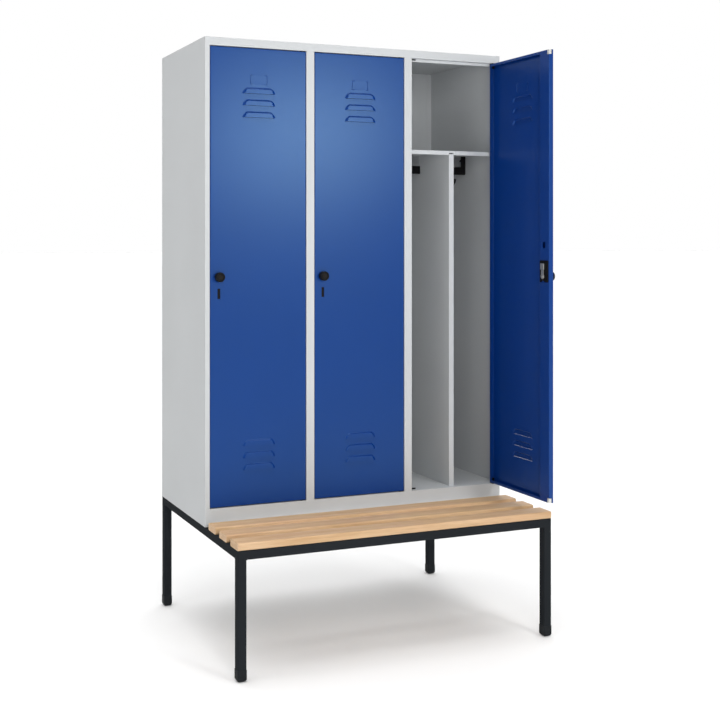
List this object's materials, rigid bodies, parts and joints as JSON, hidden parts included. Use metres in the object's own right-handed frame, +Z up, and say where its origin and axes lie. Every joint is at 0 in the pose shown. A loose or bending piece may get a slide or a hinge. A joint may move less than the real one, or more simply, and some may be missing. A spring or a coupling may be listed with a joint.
{
  "type": "locker with bench",
  "caption": "Steel locker with tall louvred doors, hat shelves, dividers, coat rails and cam locks, on a tube frame with a slatted wooden bench in front.",
  "frame": {"origin": "on the floor, under the middle of the whole object with the right-hand door open at a right angle", "axes": "+X to the right seen from the front, +Y to the back of the locker, +Z up"},
  "size_m": [1.2089, 0.8533, 2.12],
  "materials": {
    "grey_paint": "light grey powder coat, satin",
    "blue_paint": "blue powder coat, satin",
    "black_paint": "black powder coat, satin",
    "black_plastic": "black moulded plastic",
    "white_plastic": "off-white moulded plastic",
    "zinc_plate": "zinc plated die-cast",
    "beech": "clear lacquered beech, planed"
  },
  "bodies": {
    "root": {"wall_left": "grey_paint", "wall_right": "grey_paint", "back_panel": "grey_paint", "top_panel": "grey_paint", "floor_panel": "grey_paint", "partition_1": "grey_paint", "partition_2": "grey_paint", "hat_shelf_1": "grey_paint", "hat_shelf_2": "grey_paint", "hat_shelf_3": "grey_paint", "divider_1": "grey_paint", "divider_2": "grey_paint", "divider_3": "grey_paint", "coat_rail_1": "black_plastic", "coat_rail_2": "black_plastic", "coat_rail_3": "black_plastic", "coat_hook_left_1": "black_plastic", "coat_hook_right_1": "black_plastic", "coat_hook_left_2": "black_plastic", "coat_hook_right_2": "black_plastic", "coat_hook_left_3": "black_plastic", "coat_hook_right_3": "black_plastic", "bench_end_left": "black_paint", "bench_end_right": "black_paint", "bench_rail_front": "black_paint", "bench_rail_rear": "black_paint", "foot_front_left": "black_plastic", "foot_rear_left": "black_plastic", "foot_front_right": "black_plastic", "foot_rear_right": "black_plastic", "seat_slat_front": "beech", "seat_slat_middle": "beech", "seat_slat_rear": "beech"},
    "door_1": {"door_panel_1": "blue_paint", "door_stiffener_1": "blue_paint", "lock_case_1": "black_plastic", "hinge_bush_top_1": "black_plastic", "hinge_bush_bottom_1": "black_plastic", "corner_glide_top_1": "white_plastic", "corner_glide_bottom_1": "white_plastic"},
    "lock_1": {"lock_knob_1": "black_plastic", "lock_cam_1": "zinc_plate"},
    "door_2": {"door_panel_2": "blue_paint", "door_stiffener_2": "blue_paint", "lock_case_2": "black_plastic", "hinge_bush_top_2": "black_plastic", "hinge_bush_bottom_2": "black_plastic", "corner_glide_top_2": "white_plastic", "corner_glide_bottom_2": "white_plastic"},
    "lock_2": {"lock_knob_2": "black_plastic", "lock_cam_2": "zinc_plate"},
    "door_3": {"door_panel_3": "blue_paint", "door_stiffener_3": "blue_paint", "lock_case_3": "black_plastic", "hinge_bush_top_3": "black_plastic", "hinge_bush_bottom_3": "black_plastic", "corner_glide_top_3": "white_plastic", "corner_glide_bottom_3": "white_plastic"},
    "lock_3": {"lock_knob_3": "black_plastic", "lock_cam_3": "zinc_plate"}
  },
  "joints": [
    {"name": "door_1_hinge", "type": "hinge", "parent": "root", "child": "door_1", "pos_m": [-0.223, -0.068, 1.2865], "axis": [0, 0, 1], "range_deg": [0, 100]},
    {"name": "door_2_hinge", "type": "hinge", "parent": "root", "child": "door_2", "pos_m": [0.176, -0.068, 1.2865], "axis": [0, 0, 1], "range_deg": [0, 100]},
    {"name": "door_3_hinge", "type": "hinge", "parent": "root", "child": "door_3", "pos_m": [0.575, -0.068, 1.2865], "axis": [0, 0, 1], "range_deg": [-90, 10]},
    {"name": "lock_1_turn", "type": "hinge", "parent": "door_1", "child": "lock_1", "pos_m": [-0.549, -0.074, 1.285], "axis": [0, -1, 0], "range_deg": [0, 90]},
    {"name": "lock_2_turn", "type": "hinge", "parent": "door_2", "child": "lock_2", "pos_m": [-0.15, -0.074, 1.285], "axis": [0, -1, 0], "range_deg": [0, 90]},
    {"name": "lock_3_turn", "type": "hinge", "parent": "door_3", "child": "lock_3", "pos_m": [0.581, -0.394, 1.285], "axis": [1, 0, 0], "range_deg": [0, 90]}
  ]
}
